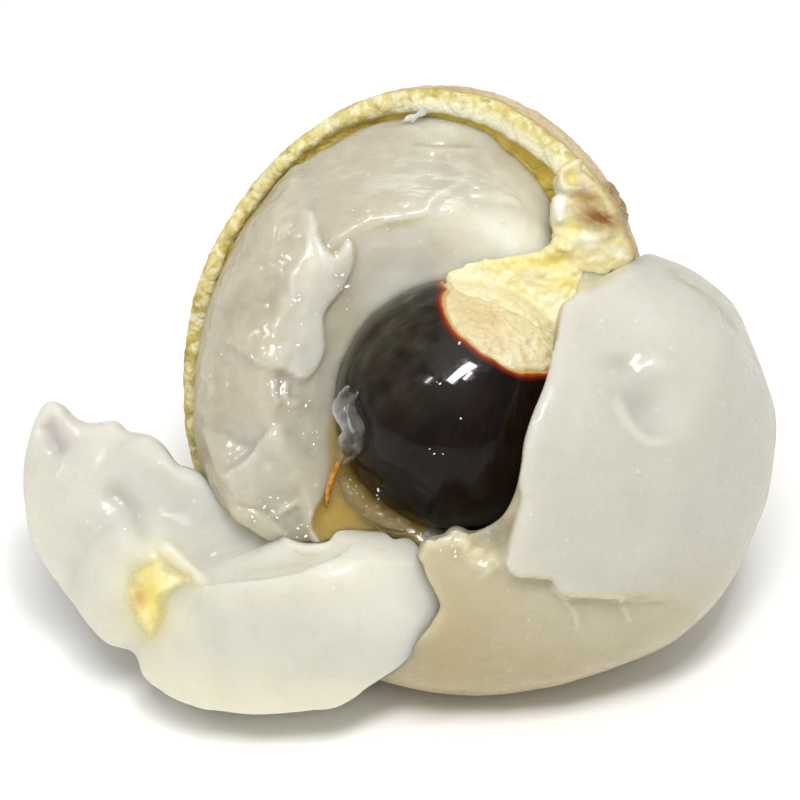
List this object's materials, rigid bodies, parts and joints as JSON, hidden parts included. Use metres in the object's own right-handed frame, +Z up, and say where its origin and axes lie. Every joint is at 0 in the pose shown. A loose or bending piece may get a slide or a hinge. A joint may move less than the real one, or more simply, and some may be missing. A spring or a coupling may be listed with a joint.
{
  "type": "opened longan fruit",
  "caption": "Ripe longan torn open: part of the rind behind, white flesh round a glossy dark seed with a pale eye, and a pulled-off flap of flesh leaning in front.",
  "frame": {"origin": "centre of the flat spot on which the flesh rests, on the surface that the fruit lies on", "axes": "+Z up; +X along the longest extent, away from the torn-off flap; the opening faces -Y and up"},
  "size_m": [0.04, 0.0279, 0.0267],
  "materials": {
    "rind": "thin dry rind, tan and finely speckled outside, mustard and satin inside, pale cream where torn",
    "flesh": "wet translucent white jelly-like flesh",
    "seed_coat": "glossy near-black brown seed coat",
    "hilum": "pale grainy eye of the seed with a red-brown edge",
    "fibre": "soft yellow fibrous tissue",
    "film": "wet grey translucent film"
  },
  "bodies": {
    "root": {"shell": "rind", "aril": "flesh", "seed": "seed_coat", "hilum": "hilum", "placenta": "fibre", "torn_flap": "flesh", "flap_core": "fibre", "upper_film": "film", "lower_film": "film"}
  },
  "joints": []
}
